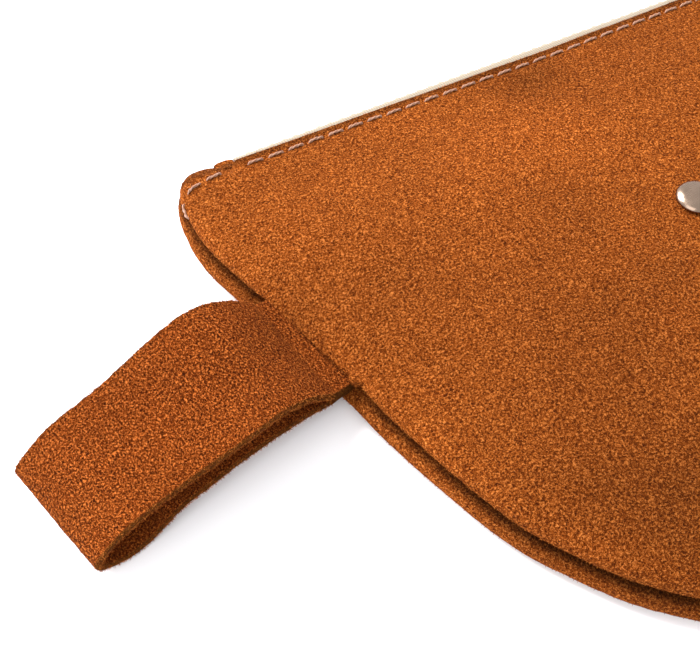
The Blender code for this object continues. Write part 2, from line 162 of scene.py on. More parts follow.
def spline(points, per_span=12):
    """A Catmull-Rom curve through the points."""
    p = np.array(points, float)
    p = np.vstack([2 * p[0] - p[1], p, 2 * p[-1] - p[-2]])
    t = np.linspace(0, 1, per_span, endpoint=False)[:, None]
    out = []
    for a, b, c, d in zip(p, p[1:], p[2:], p[3:]):
        out.append(0.5 * (2 * b + (c - a) * t + (2 * a - 5 * b + 4 * c - d) * t ** 2
                          + (3 * b - a - 3 * c + d) * t ** 3))
    return np.vstack(out + [p[-2:-1]])


def resample(points, count):
    """The same line in count equal steps."""
    steps = np.linalg.norm(np.diff(points, axis=0), axis=1)
    along = np.concatenate([[0], np.cumsum(steps)])
    places = np.linspace(0, along[-1], count + 1)
    return np.column_stack([np.interp(places, along, points[:, k]) for k in range(points.shape[1])])


def unit(vectors):
    """The same directions with a length of 1."""
    return vectors / np.linalg.norm(vectors, axis=-1)[..., None]


def profile(points, value):
    """A height or offset read from a smooth curve through the points."""
    curve = spline(points)
    return np.interp(value, curve[:, 0], curve[:, 1])


def lattice(cell, seed):
    """A repeatable number from 0 to 1 for each whole-numbered cell."""
    n = cell[..., 0] * 73856093 ^ cell[..., 1] * 19349663 ^ cell[..., 2] * 83492791
    n = (n + seed * 668265263) & 0xffffffff
    n = ((n ^ (n >> 15)) * 2246822519) & 0xffffffff
    n = ((n ^ (n >> 13)) * 3266489917) & 0xffffffff
    return ((n ^ (n >> 16)) & 0xffff) / 65535


def noise(points, size, seed):
    """Smooth noise from -1 to 1, with bumps about as wide as size."""
    p = np.asarray(points, float) / size
    base = np.floor(p).astype(np.int64)
    f = p - base
    f = f * f * (3 - 2 * f)
    total = np.zeros(p.shape[:-1])
    for corner in range(8):
        step = np.array([(corner >> axis) & 1 for axis in range(3)])
        weight = np.prod(np.where(step, f, 1 - f), axis=-1)
        total += weight * lattice(base + step, seed)
    return 2 * total - 1


# ---------------------------------------------------------------- the pouch's surfaces

def rim_line():
    """The whole rim, from the left top corner round the bottom to the right one."""
    left = [(-x, y) for x, y in RIM_HALF[:0:-1]]
    return spline(left + RIM_HALF)


def flat_tree(points):
    """A search tree of points in the plane."""
    tree = KDTree(len(points))
    for place, (x, y) in enumerate(points):
        tree.insert((x, y, 0), place)
    tree.balance()
    return tree


RIM = resample(rim_line(), 3000)
RIM_TREE = flat_tree(RIM)


def rim_frame(columns):
    """Points along the rim, the direction into the pouch at each, and how wide the roll is."""
    line = resample(RIM, columns)
    tangent = np.gradient(line, axis=0)
    inward = np.column_stack([-tangent[:, 1], tangent[:, 0]])
    window = 9
    padded = np.pad(inward, ((window // 2, window // 2), (0, 0)), "edge")
    inward = np.stack([np.convolve(padded[:, k], np.ones(window), "valid") for k in (0, 1)], axis=1)
    to_corner = np.hypot(np.abs(line[:, 0]) - CORNER[0], line[:, 1] - CORNER[1])
    return line, unit(inward), 1 - CORNER_TIGHTER * np.exp(-(to_corner / CORNER_REACH) ** 2)


def rim_distance(points):
    """How far each point is in from the rim."""
    return np.array([RIM_TREE.find((x, y, 0))[2] for x, y in points])


def mouth_edge(x):
    """The y of the panels' cut edge along the zip."""
    xs, ys = zip(*MOUTH_EDGE)
    return np.interp(np.abs(x), xs, ys)


def front_top(points):
    """Height of the front panel's outer face inside its rolled edge."""
    dome = profile(FRONT_DOME, rim_distance(points))
    rise = smooth((TOP - points[:, 1]) / MOUTH_RISE)
    return MOUTH_Z + (dome - MOUTH_Z) * rise


def back_under(points):
    """Height of the back panel's outer face: flat, and lifted a little at the mouth."""
    return MOUTH_LIFT * (1 - smooth((TOP - points[:, 1] - 6) / 16))


def loop_across(points):
    """How far each point is from the loop's middle line, across it."""
    x, y = points[..., 0] - LOOP_ROOT[0], points[..., 1] - LOOP_ROOT[1]
    return np.abs(x * math.sin(LOOP_TURN) - y * math.cos(LOOP_TURN))


def rolled_band(roll, height, room):
    """The rolled edge, as columns from the seam's flange to where the panel's field begins."""
    line, inward, width = rim_frame(RIM_COLUMNS)
    curve = spline(roll, ROLL_STEPS)
    plan = line[:, None] + inward[:, None] * (curve[None, :, :1] * width[:, None, None])
    low, high = roll[0][1], roll[-1][1]
    field = height(plan[:, -1])
    share = (curve[:, 1] - low) / (high - low)
    tops = low + (field[:, None] - low) * share[None]
    # The loop's two layers lift the flange and the edge where they come out.
    near_loop = (1 - smooth((loop_across(plan[:, 0]) - LOOP_WIDTH / 2 - 0.5) / 6)) * (line[:, 0] < 0)
    tops += room * near_loop[:, None] * (1 - smooth(share * 1.6))[None]
    band = np.concatenate([plan, tops[..., None]], axis=2)
    # At the mouth's ends the roll opens out into a flat cut edge.
    opened = smooth((OPEN_FROM - np.abs(line[:, 0])) / (OPEN_FROM - OPEN_TO)) * (line[:, 1] > TOP - 1)
    steps = np.linspace(0, 1, len(curve))[None]
    start = TOP - mouth_edge(OPEN_TO)
    depth = start + (roll[-1][0] * width[:, None] - start) * steps
    flat = np.stack([np.broadcast_to(line[:, :1], depth.shape), TOP - depth,
                     np.broadcast_to(field[:, None], depth.shape)], axis=-1)
    return band + (flat - band) * opened[:, None, None]


def within(outline, points):
    """Which of the points lie inside a closed outline."""
    x, y = points[:, 0], points[:, 1]
    found = np.zeros(len(points), bool)
    for (x0, y0), (x1, y1) in zip(outline, np.roll(outline, -1, axis=0)):
        if y0 != y1:
            found ^= ((y0 > y) != (y1 > y)) & (x < (x1 - x0) * (y - y0) / (y1 - y0) + x0)
    return found


def lattice_points(outline, step, low, high):
    """Points in staggered rows, step apart, that lie inside an outline and clear of it."""
    xs = np.arange(-100, 100, step)
    ys = np.arange(low, high, step * 0.866)
    grid_x, grid_y = np.meshgrid(xs, ys)
    grid_x[1::2] += step / 2
    points = np.column_stack([grid_x.ravel(), grid_y.ravel()])
    points = points[within(outline, points)]
    tree = flat_tree(outline)
    return points[[tree.find((x, y, 0))[2] > step * 0.6 for x, y in points]]


def panel_mesh(roll, height, room):
    """A panel's outer face as points in millimetres and faces that look up."""
    band = rolled_band(roll, height, room)
    columns, rows = band.shape[:2]
    index = np.arange(columns * rows).reshape(columns, rows)
    xs = np.linspace(OPEN_TO, -OPEN_TO, int(2 * OPEN_TO / MOUTH_STEP) + 1)[1:-1]
    mouth = np.column_stack([xs, mouth_edge(xs)])
    ring = np.concatenate([index[:, -1], index[-1, -2::-1], -1 - np.arange(len(mouth)), index[0, :-1]])
    flat_band = band.reshape(-1, 3)[:, :2]
    outline = np.array([flat_band[k] if k >= 0 else mouth[-1 - k] for k in ring])
    field = np.vstack([lattice_points(outline, FIELD_STEP, -80, 66),
                       lattice_points(outline, MOUTH_STEP, 66, 76)])
    plane = np.vstack([outline, field])
    filled = delaunay_2d_cdt([Vector(p) for p in plane], [], [list(range(len(outline)))], 1, 1e-5, True)
    extra = columns * rows
    known = [k if k >= 0 else extra - 1 - k for k in ring]
    known += [extra + len(mouth) + k for k in range(len(field))]
    names = [known[found[0]] for found in filled[3]]
    found = np.array(filled[2])
    centres = np.array([tuple(v) for v in filled[0]])[found].mean(axis=1)
    faces = [tuple(names[k] for k in face) for face in found[within(outline, centres)]]
    a, b, c, d = index[:-1, :-1], index[1:, :-1], index[1:, 1:], index[:-1, 1:]
    faces = np.stack([a, b, c, d], axis=-1).reshape(-1, 4).tolist() + faces
    inner = np.vstack([mouth, field])
    points = np.vstack([band.reshape(-1, 3), np.column_stack([inner, height(inner)])])
    return points, faces, columns * rows


def normals_of(points, faces):
    """The unit normal at each point of a mesh."""
    mesh = bpy.data.meshes.new("probe")
    mesh.from_pydata(points.tolist(), [], faces)
    found = np.empty(len(points) * 3)
    mesh.vertex_normals.foreach_get("vector", found)
    bpy.data.meshes.remove(mesh)
    return found.reshape(-1, 3)


# ---------------------------------------------------------------- meshes

def link(obj):
    """Put an object in the scene."""
    bpy.context.scene.collection.objects.link(obj)
    return obj


def mesh_object(name, points, faces):
    """A smooth mesh object from points in millimetres."""
    mesh = bpy.data.meshes.new(name)
    mesh.from_pydata((points * MM).tolist(), [], faces)
    mesh.shade_smooth()
    return link(bpy.data.objects.new(name, mesh))


def grid_object(name, rows, wrap=False):
    """A mesh through a table of points in millimetres, with its rows closed if wrap is set."""
    index = np.arange(rows.shape[0] * rows.shape[1]).reshape(rows.shape[:2])
    if wrap:
        index = np.concatenate([index, index[:, :1]], axis=1)
    a, b, c, d = index[:-1, :-1], index[:-1, 1:], index[1:, 1:], index[1:, :-1]
    faces = np.stack([a, b, c, d], axis=-1).reshape(-1, 4)
    return mesh_object(name, rows.reshape(-1, 3), faces.tolist())


def tube_faces(count, around, start=0, caps=True):
    """The faces of a tube of count rings, with its ends closed if caps is set."""
    index = np.arange(count * around).reshape(count, around) + start
    turned = np.roll(index, -1, axis=1)
    faces = np.stack([index[:-1], turned[:-1], turned[1:], index[1:]], axis=-1).reshape(-1, 4).tolist()
    return faces + [index[0, ::-1].tolist(), index[-1].tolist()] if caps else faces


def join_tubes(name, tubes):
    """One mesh of several closed tubes, each a table of rings in millimetres."""
    points, faces, start = [], [], 0
    for rings in tubes:
        points.append(rings.reshape(-1, 3))
        faces += tube_faces(*rings.shape[:2], start)
        start += len(points[-1])
    return mesh_object(name, np.vstack(points), faces)


def solidify(obj, thickness, offset, rim_slot=0):
    """Give a sheet its thickness, with its cut edge in a material slot of its own."""
    shell = obj.modifiers.new("thickness", "SOLIDIFY")
    shell.thickness = thickness * MM
    shell.offset = offset
    shell.use_even_offset = False
    shell.material_offset_rim = rim_slot


def paint(obj, values):
    """A shade for each point of a mesh, for its material to read."""
    layer = obj.data.attributes.new("shade", "FLOAT", "POINT")
    layer.data.foreach_set("value", np.asarray(values, np.float32).ravel())


def places_of(mesh):
    """A mesh's points as a table."""
    places = np.empty(len(mesh.vertices) * 3)
    mesh.vertices.foreach_get("co", places)
    return places.reshape(-1, 3)


# ---------------------------------------------------------------- materials

class Nodes:
    """A short way to build a material's nodes."""

    def __init__(self, name):
        self.material = bpy.data.materials.new(name)
        self.material.use_nodes = True
        self.tree = self.material.node_tree
        self.shader = self.tree.nodes["Principled BSDF"]

    def add(self, kind, inputs=(), **settings):
        """A node, with its settings and its inputs: numbers, colours or other nodes' outputs."""
        node = self.tree.nodes.new(kind)
        for key, value in settings.items():
            setattr(node, key, value)
        for key, value in dict(inputs).items():
            self.put(node.inputs[key], value)
        return node

    def put(self, socket, value):
        """Link an output to a socket, or set the socket's own value."""
        if isinstance(value, bpy.types.NodeSocket):
            self.tree.links.new(value, socket)
        elif isinstance(value, tuple) and len(value) == 3 and len(socket.default_value) == 4:
            socket.default_value = (*value, 1)
        else:
            socket.default_value = value

    def maths(self, operation, a, b, c=0.5):
        """The result of a Math node."""
        return self.add("ShaderNodeMath", {0: a, 1: b, 2: c}, operation=operation).outputs[0]

    def ramp(self, value, stops):
        """A colour ramp."""
        node = self.add("ShaderNodeValToRGB", {0: value})
        elements = node.color_ramp.elements
        while len(elements) < len(stops):
            elements.new(0.5)
        for element, (at, color) in zip(elements, stops):
            element.position = at
            element.color = (*color, 1)
        return node.outputs[0]

    def mix(self, kind, share, a, b):
        """Two colours mixed in one of the blend modes."""
        node = self.add("ShaderNodeMix", {0: share}, data_type="RGBA", blend_type=kind)
        self.put(node.inputs["A"], a)
        self.put(node.inputs["B"], b)
        return node.outputs["Result"]

    def noise(self, at, scale, detail, roughness=0.5):
        """The value of a noise texture."""
        return self.add("ShaderNodeTexNoise", {"Vector": at, "Scale": scale, "Detail": detail,
                                               "Roughness": roughness}).outputs["Fac"]

    def bump(self, height, strength, distance):
        """A bump that reads a height from 0 to 1 as a distance in metres."""
        return self.add("ShaderNodeBump", {"Strength": strength, "Distance": distance,
                                           "Height": height}).outputs[0]

    def finish(self, **inputs):
        """Set the shader's inputs and return the material."""
        for key, value in inputs.items():
            self.put(self.shader.inputs[key.replace("_", " ")], value)
        return self.material


def suede(name, place, stops, grain):
    """Napped leather: short worm-like clumps of fibre with darker gaps, partly their own tone and partly
    painted shade, times each point's tone and painted shade.
    """
    n = Nodes(name)
    at = n.add("ShaderNodeTexCoord").outputs[place]
    drift = n.add("ShaderNodeTexNoise", {"Vector": at, "Scale": 1900 / grain, "Detail": 1.0})
    spread = n.add("ShaderNodeVectorMath", {0: drift.outputs["Color"], 1: (0.5, 0.5, 0.5)},
                   operation="SUBTRACT").outputs[0]
    spread = n.add("ShaderNodeVectorMath", {0: spread, "Scale": 0.0009 * grain},
                   operation="SCALE").outputs[0]
    bent = n.add("ShaderNodeVectorMath", {0: at, 1: spread}, operation="ADD").outputs[0]
    worms = n.noise(bent, 2150 / grain, 3.0, 0.62)
    fluff = n.noise(at, 5200 / grain, 2.0, 0.6)
    height = n.maths("ADD", n.maths("MULTIPLY", worms, 0.72), n.maths("MULTIPLY", fluff, 0.28))
    # The colour follows the grain's height: the gaps between the clumps are darker in tone and also carry
    # painted shade, which the bump alone doesn't cast.
    color = n.ramp(height, stops)
    # Each point's shade holds its tone patches and the painted shade and painted highlight along the seam and
    # the mouth.
    shade = n.add("ShaderNodeAttribute", attribute_name="shade").outputs["Fac"]
    tone = n.add("ShaderNodeCombineColor", {0: shade, 1: shade, 2: shade}).outputs[0]
    color = n.mix("MULTIPLY", 1.0, color, tone)
    normal = n.bump(height, 1.0, 0.0027 * grain)
    return n.finish(Base_Color=color, Roughness=0.95, Normal=normal, Sheen_Weight=0.04,
                    Sheen_Roughness=0.5, Sheen_Tint=(1.0, 0.45, 0.12), Specular_IOR_Level=0.03)


TAN = [(0.375, (0.045, 0.006, 0.0005)), (0.46, (0.165, 0.030, 0.0028)),
       (0.53, (0.34, 0.076, 0.0085)), (0.61, (0.76, 0.235, 0.045))]
CUT = [(0.36, (0.03, 0.007, 0.001)), (0.48, (0.09, 0.024, 0.003)), (0.64, (0.22, 0.070, 0.010))]
LOOP_TAN = [(0.39, (0.018, 0.0025, 0.0002)), (0.465, (0.112, 0.017, 0.0014)),
            (0.53, (0.262, 0.049, 0.0052)), (0.60, (0.77, 0.208, 0.037))]

# Patches of the front painted lighter or darker: (x, y, how far it spreads, change).
PATCHES = [(-9, 63, 9, -0.30), (-9, 40, 13, 0.20), (-29, 47, 16, 0.20), (-50, -36, 26, -0.34),
           (-69, 20, 15, -0.14), (-92, 27, 9, -0.34), (-28, 2, 20, -0.10), (-84, 50, 14, 0.06),
           (-67, -20, 12, 0.08), (-67, -48, 12, 0.16), (-82, -12, 9, 0.14), (42, 30, 26, 0.12),
           (60, -18, 22, -0.20), (18, -52, 18, -0.16), (70, 52, 14, -0.10)]


def cloth(name, color, threads, depth):
    """Woven cloth: two sets of threads across each other, with a little unevenness."""
    n = Nodes(name)
    at = n.add("ShaderNodeTexCoord").outputs["Object"]
    wave = {"Vector": at, "Scale": threads, "Distortion": 0.6, "Detail": 1.0, "Detail Scale": 3.0}
    one, two = (n.add("ShaderNodeTexWave", wave, bands_direction=axis).outputs["Fac"] for axis in "XY")
    weave = n.maths("MULTIPLY", n.maths("ADD", one, two), 0.5)
    slub = n.noise(at, 260.0, 3.0)
    height = n.maths("ADD", n.maths("MULTIPLY", weave, 0.75), n.maths("MULTIPLY", slub, 0.25))
    dark = tuple(c * 0.62 for c in color)
    shown = n.ramp(height, [(0.2, dark), (0.7, color)])
    return n.finish(Base_Color=shown, Roughness=0.9, Normal=n.bump(height, 0.6, depth),
                    Sheen_Weight=0.2, Sheen_Roughness=0.4, Specular_IOR_Level=0.2)


def metal(name, color):
    """Satin plating with fine brushing and a few duller patches."""
    n = Nodes(name)
    at = n.add("ShaderNodeTexCoord").outputs["Object"]
    stretched = n.add("ShaderNodeMapping", {"Vector": at, "Scale": (400.0, 6000.0, 6000.0)}).outputs[0]
    grain = n.noise(stretched, 1.0, 3.0)
    patches = n.noise(at, 300.0, 2.0)
    rough = n.maths("ADD", n.maths("MULTIPLY", grain, 0.18), n.maths("MULTIPLY", patches, 0.3))
    shown = n.ramp(patches, [(0.3, tuple(c * 0.86 for c in color)), (0.7, color)])
    return n.finish(Base_Color=shown, Metallic=1.0, Roughness=rough, Normal=n.bump(grain, 0.15, 0.00002))


def plastic(name, color):
    """Moulded plastic with a faint orange-peel surface."""
    n = Nodes(name)
    at = n.add("ShaderNodeTexCoord").outputs["Object"]
    peel = n.noise(at, 2200.0, 2.0)
    wear = n.noise(at, 240.0, 3.0)
    shown = n.ramp(wear, [(0.3, tuple(c * 0.88 for c in color)), (0.7, color)])
    rough = n.maths("MULTIPLY_ADD", peel, 0.2, 0.32)
    return n.finish(Base_Color=shown, Roughness=rough, Normal=n.bump(peel, 0.2, 0.00004))


def thread(name, color):
    """Bonded thread: a soft shine broken by its own fibres."""
    n = Nodes(name)
    at = n.add("ShaderNodeTexCoord").outputs["Object"]
    strands = n.noise(at, 5200.0, 2.0)
    shown = n.ramp(strands, [(0.3, tuple(c * 0.7 for c in color)), (0.65, color)])
    return n.finish(Base_Color=shown, Roughness=0.6, Normal=n.bump(strands, 0.3, 0.00005),
                    Sheen_Weight=0.2)


def fibre(name):
    """Loose ends of the nap, lighter and darker from one to the next."""
    n = Nodes(name)
    at = n.add("ShaderNodeTexCoord").outputs["Object"]
    shown = n.ramp(n.noise(at, 1500.0, 1.0), [(0.35, (0.16, 0.030, 0.003)), (0.62, (0.50, 0.15, 0.025))])
    return n.finish(Base_Color=shown, Roughness=0.85, Specular_IOR_Level=0.1)


# ---------------------------------------------------------------- stage, light and camera

def make_stage():
    """A plain pale floor, soft studio light from behind on the left, and the camera."""
    scene = bpy.context.scene
    scene.view_settings.view_transform = "Standard"
    mesh = bpy.data.meshes.new("floor")
    bm = bmesh.new()
    bmesh.ops.create_grid(bm, x_segments=2, y_segments=2, size=4.0)
    bmesh.ops.translate(bm, vec=(0, 0, -0.0002), verts=bm.verts)
    bm.to_mesh(mesh)
    bm.free()
    floor = link(bpy.data.objects.new("floor", mesh))
    n = Nodes("floor_white")
    mesh.materials.append(n.finish(Base_Color=(0.93, 0.93, 0.94), Roughness=0.9, Specular_IOR_Level=0.0))

    world = bpy.data.worlds.new("studio")
    world.use_nodes = True
    sky = world.node_tree.nodes["Background"]
    sky.inputs["Color"].default_value = (1.0, 1.0, 1.02, 1)
    sky.inputs["Strength"].default_value = 1.15
    scene.world = world

    for name, place, aim, size, power in (
            ("key", (-0.32, 0.62, 0.50), (-0.05, 0.03, 0.0), 0.5, 19.0),
            ("fill", (-0.60, -0.25, 0.50), (-0.08, 0.0, 0.0), 0.6, 3.0)):
        light = bpy.data.lights.new(name, "AREA")
        light.size = size
        light.energy = power
        lamp = link(bpy.data.objects.new(name, light))
        lamp.location = place
        lamp.rotation_euler = (Vector(aim) - Vector(place)).to_track_quat("-Z", "Y").to_euler()

    lens = bpy.data.cameras.new("camera")
    lens.lens = CAMERA_LENS
    lens.sensor_width = 36.0
    lens.clip_start = 0.01
    lens.clip_end = 20.0
    camera = link(bpy.data.objects.new("camera", lens))
    camera.location = Vector(CAMERA_AT) * MM
    aim = (Vector(CAMERA_TO) - Vector(CAMERA_AT)) * MM
    camera.rotation_euler = aim.to_track_quat("-Z", "Y").to_euler()
    scene.camera = camera


# ---------------------------------------------------------------- pieces and loose fibres

def finish_piece(obj, look, body, slot, *nodes):
    """Give a piece its body and, if it has none yet, its material, and hide its CAD nodes. The slot is not
    used.
    """
    if not obj.data.materials:
        obj.data.materials.append(look)
    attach(obj, body)
    if nodes:
        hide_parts(*nodes)


def scatter(count, seed):
    """Repeatable whole numbers below WHOLE."""
    cells = np.stack([np.arange(count), np.full(count, seed), np.full(count, 7)], axis=-1)
    return (lattice(cells, seed) * (WHOLE - 1)).astype(np.int64)


def chosen(counts, seeds, groups):
    """Repeatable picks of points, so many from each group."""
    return np.concatenate([group[scatter(count, seed) * len(group) // WHOLE]
                           for count, seed, group in zip(counts, seeds, groups)])


def fibres(name, roots, normals, seed, length):
    """Short tapered hairs that stand out of a surface and lean every way, in millimetres."""
    count = len(roots)
    chance = [scatter(count, seed + k) / (WHOLE - 1) for k in range(5)]
    lean = np.column_stack(chance[:3]) * 2 - 1
    first = unit(normals * 0.75 + lean * 0.75)
    second = unit(first + np.column_stack(chance[2:]) * 1.4 - 0.7)
    size = length * (0.45 + chance[3] * 0.9)[:, None]
    spine = [roots - normals * 0.12, roots + first * size * 0.5, roots + (first + second) * size * 0.5]
    one = unit(np.cross(first, (0.31, 0.52, 0.79)))
    two = np.cross(first, one)
    points = []
    for place, radius in zip(spine, (0.055, 0.042, 0.012)):
        for turn in (0.0, 2.1, 4.2):
            points.append(place + radius * (one * math.cos(turn) + two * math.sin(turn)))
    points = np.stack(points, axis=1).reshape(-1, 3)
    points[:, 2] = np.maximum(points[:, 2], 0.01)
    cells = np.array(tube_faces(3, 3, caps=False))
    faces = (np.arange(count)[:, None, None] * 9 + cells).reshape(-1, 4)
    tips = np.arange(count)[:, None] * 9 + np.array([6, 7, 8])
    feet = tips[:, ::-1] - 6
    return mesh_object(name, points, faces.tolist() + tips.tolist() + feet.tolist())


# ---------------------------------------------------------------- the suede panels

def nap_tone_and_painted_shade(points):
    """A panel's tone at each point: random tone, lighter and darker patches, and painted shade on the strip
    outside the stitches.
    """
    value = 1 + 0.09 * noise(points * (1, 1.6, 1), 21, 3) + 0.06 * noise(points, 8, 5)
    for x, y, spread, change in PATCHES:
        value += change * np.exp(-((points[:, 0] - x) ** 2 + (points[:, 1] - y) ** 2) / spread ** 2)
    # The strip outside the stitches is darkened with painted shade.
    value *= 1 - 0.45 * smooth((points[:, 1] - mouth_edge(points[:, 0]) + 1.9) / 1.2)
    return value + 0.03 * noise(points, 3, 7)


def soften(points, faces, in_band, side):
    """Give a stiff shell the slow waves and small puckers of soft leather, and its stitch line."""
    normals = normals_of(points, faces)
    level = points * (1, 1, 0)
    push = 0.24 * noise(level, 34, 11) + 0.13 * noise(level, 15, 12) + 0.05 * noise(points, 1.4, 13)
    rolled = np.arange(len(points)) < in_band
    push += np.where(rolled, 0.13 * noise(level, 7.5, 14) + 0.05 * noise(points, 1.1, 15), 0)
    shown = points + normals * push[:, None] * side
    from_line = np.abs(points[:, 1] - (mouth_edge(points[:, 0]) - STITCH_IN))
    on_face = (np.abs(points[:, 0]) < OPEN_TO) & ~rolled
    dent = 0.22 * np.exp(-(from_line / 0.9) ** 2) * on_face
    phase = (points[:, 0] / STITCH_PITCH + 0.5) % 1 - 0.5
    dent += 0.25 * np.exp(-(from_line / 0.8) ** 2 - (phase * STITCH_PITCH / 0.9) ** 2) * on_face
    shown[:, 2] -= side * dent
    return shown


def make_panel(name, node, looks, roll, height, room, side):
    """One suede panel: a closed shell with its cut edges in a material of their own."""
    points, faces, in_band = panel_mesh(roll, height, room)
    points = soften(points, faces, in_band, side)
    points[:, 2] = np.maximum(points[:, 2], 0.02)
    if side < 0:
        faces = [tuple(face)[::-1] for face in faces]
    obj = mesh_object(name, points, faces)
    obj.data.materials.append(looks["suede"])
    obj.data.materials.append(looks["cut"])
    # Painted shade darkens the seam's flange, and a painted highlight lightens the rolled edge above and
    # below it.
    shade = nap_tone_and_painted_shade(points * (1, 1, side))
    rolled = np.arange(len(points)) < in_band
    closed = 1 - smooth((OPEN_FROM - np.abs(points[:, 0])) / 4) * (points[:, 1] > TOP - 9)
    seam_painted_shade = np.exp(-((points[:, 2] - SEAM_Z) / 0.75) ** 2) * rolled * closed
    roll_painted_highlight = np.exp(-((np.abs(points[:, 2] - SEAM_Z) - PAINTED_HIGHLIGHT_FROM_SEAM) / 1.3) ** 2) * rolled * closed
    paint(obj, shade * (1 - 0.72 * seam_painted_shade) * (1 + 0.16 * roll_painted_highlight))
    solidify(obj, SUEDE, -1.0, 1)
    finish_piece(obj, None, "pouch", "suede", node)
    normals = normals_of(points, faces)
    at_mouth = np.flatnonzero(np.abs(points[:, 1] - mouth_edge(points[:, 0])) < 0.2)
    all_points = np.arange(len(points))
    groups = all_points[:in_band], at_mouth, all_points[in_band:]
    pick = chosen(PANEL_FIBRES, (81 + side, 84 + side, 87 + side), groups)
    hairs = fibres(name.replace("suede", "fibres"), points[pick], normals[pick], 91 + side, 0.32)
    finish_piece(hairs, looks["fibre"], "pouch", "suede")
    return BVHTree.FromPolygons(points.tolist(), faces)


# ---------------------------------------------------------------- the wrist loop

def loop_frame():
    """The loop's root on the rim, its outward direction and its width direction."""
    out = np.array([-math.cos(LOOP_TURN), -math.sin(LOOP_TURN), 0])
    across = np.array([-out[1], out[0], 0])
    return np.array([*LOOP_ROOT, 0]), out, across


def make_loop(looks):
    """The folded strip, as one closed band swept along its route."""
    root, out, across = loop_frame()
    line = resample(spline(LOOP_PATH, 24), LOOP_ROWS)
    along = unit(np.gradient(line, axis=0))
    side_t, side_z = -along[:, 1], along[:, 0]
    half, thick = LOOP_WIDTH / 2, LOOP_LEATHER / 2
    wide = np.linspace(-half, half, 71)
    bend = np.linspace(0, math.pi, 7)[1:-1]
    bulge = 0.45 * thick
    # The section runs over the top face, round one cut edge, under the band and back.
    section = [(w, thick, 0.0) for w in wide]
    section += [(half + bulge * math.sin(a), thick * math.cos(a), 1.0) for a in bend]
    section += [(w, -thick, 0.0) for w in wide[::-1]]
    section += [(-half - bulge * math.sin(a), -thick * math.cos(a), 1.0) for a in bend]
    section = np.array(section)
    t, z = line[:, :1], line[:, 1:]
    w, h, cut = section[:, 0][None], section[:, 1][None], section[:, 2][None]
    stretched = np.arange(len(line))[:, None] * LOOP_STEP
    grain = np.stack(np.broadcast_arrays(w + 0 * t, stretched, h * 2), axis=-1)
    nap = 0.07 * noise(grain, 0.9, 21) + 0.05 * noise(grain, 2.1, 22)
    rough = 0.16 * noise(grain, 1.1, 23)
    high = h + np.sign(h) * nap
    broad = w + np.sign(w) * cut * rough + 0.25 * noise(grain * (0, 1, 0) + (w > 0)[..., None] * 50, 9, 24)
    lean = 0.22 * noise(grain * (1, 1, 0), 14, 25)
    upper = np.arange(len(line))[:, None] < np.argmax(line[:, 0])
    arch = np.exp(-((t - ROOT_AT) / ROOT_REACH) ** 2) * upper
    broad = broad * (1 + ROOT_SPREAD * arch)
    skew = LOOP_SKEW * (t / LOOP_REACH) ** 2 * broad
    place = (root + out * (t - skew + side_t[:, None] * (high + lean))[..., None]
             + across * broad[..., None])
    place[..., 2] = z + side_z[:, None] * (high + lean)
    place[..., 2] += FAR_RISE * arch * smooth((0.6 - broad / half) / 1.6)
    place[..., 2] = np.maximum(place[..., 2], 0.05)
    place = place[:, ::-1]
    obj = grid_object("wrist_loop_suede", place, wrap=True)
    obj.data.materials.append(looks["strap"])
    obj.data.materials.append(looks["strap_cut"])
    cut_faces = np.roll((np.roll(cut[0], -1) + cut[0] > 0.5)[::-1], -1)
    slots = np.tile(cut_faces.astype(np.int32), len(line) - 1)
    obj.data.polygons.foreach_set("material_index", slots)
    paint(obj, 1 + 0.10 * noise(place, 11, 31) + 0.05 * noise(place, 4, 32))
    unwrap(obj, len(line), len(section))
    bm = bmesh.new()
    bm.from_mesh(obj.data)
    bmesh.ops.holes_fill(bm, edges=bm.edges, sides=0)
    bm.to_mesh(obj.data)
    bm.free()
    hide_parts("wrist_loop", "wrist_loop_tail")
    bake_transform(obj)
    make_loop_fibres(looks, place, np.abs(w)[0, ::-1] > half - 0.35)


def make_loop_fibres(looks, place, at_edge):
    """Loose fibres on the loop's cut edges and, more thinly, all over it."""
    rows, around = place.shape[:2]
    flat = place.reshape(-1, 3)
    normals = normals_of(flat, tube_faces(rows, around, caps=False))
    outside = np.arange(rows * around).reshape(rows, around)[LOOP_END_ROWS:-LOOP_END_ROWS]
    pick = chosen(LOOP_FIBRES, (71, 72), (outside[:, at_edge].ravel(), outside.ravel()))
    obj = fibres("wrist_loop_fibres", flat[pick], normals[pick], 73, 0.45)
    obj.data.materials.append(looks["fibre"])
    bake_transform(obj)


def unwrap(obj, rows, around):
    """UVs in metres along and around the band, so that its grain stays put when it bends."""
    layer = obj.data.uv_layers.new(name="band")
    perimeter = 2 * (LOOP_WIDTH + LOOP_LEATHER)
    u = np.arange(around + 1) * perimeter / around
    v = np.arange(rows) * LOOP_STEP
    corners = []
    for dr, da in ((0, 0), (0, 1), (1, 1), (1, 0)):
        uu, vv = np.meshgrid(u[da:around + da], v[dr:rows - 1 + dr])
        corners.append(np.stack([uu, vv], axis=-1))
    table = np.stack(corners, axis=2) * MM
    layer.data.foreach_set("uv", table.astype(np.float32).ravel())


# ---------------------------------------------------------------- stitches, zip, stud and linings

def rings_round(path, radius, sides):
    """A tube's rings round a path, in millimetres. The radius may change along it."""
    path = np.asarray(path, float)
    along = unit(np.gradient(path, axis=0))
    flat = np.tile((0.0, 0.0, 1.0), (len(path), 1))
    flat[np.abs(along[:, 2]) > 0.9] = (0.0, 1.0, 0.0)
    one = unit(np.cross(along, flat))
    two = np.cross(along, one)
    turn = np.linspace(0, 2 * math.pi, sides, endpoint=False)
    wide = np.broadcast_to(radius, len(path))[:, None, None]
    return path[:, None] + wide * (one[:, None] * np.cos(turn)[None, :, None]
                                   + two[:, None] * np.sin(turn)[None, :, None])


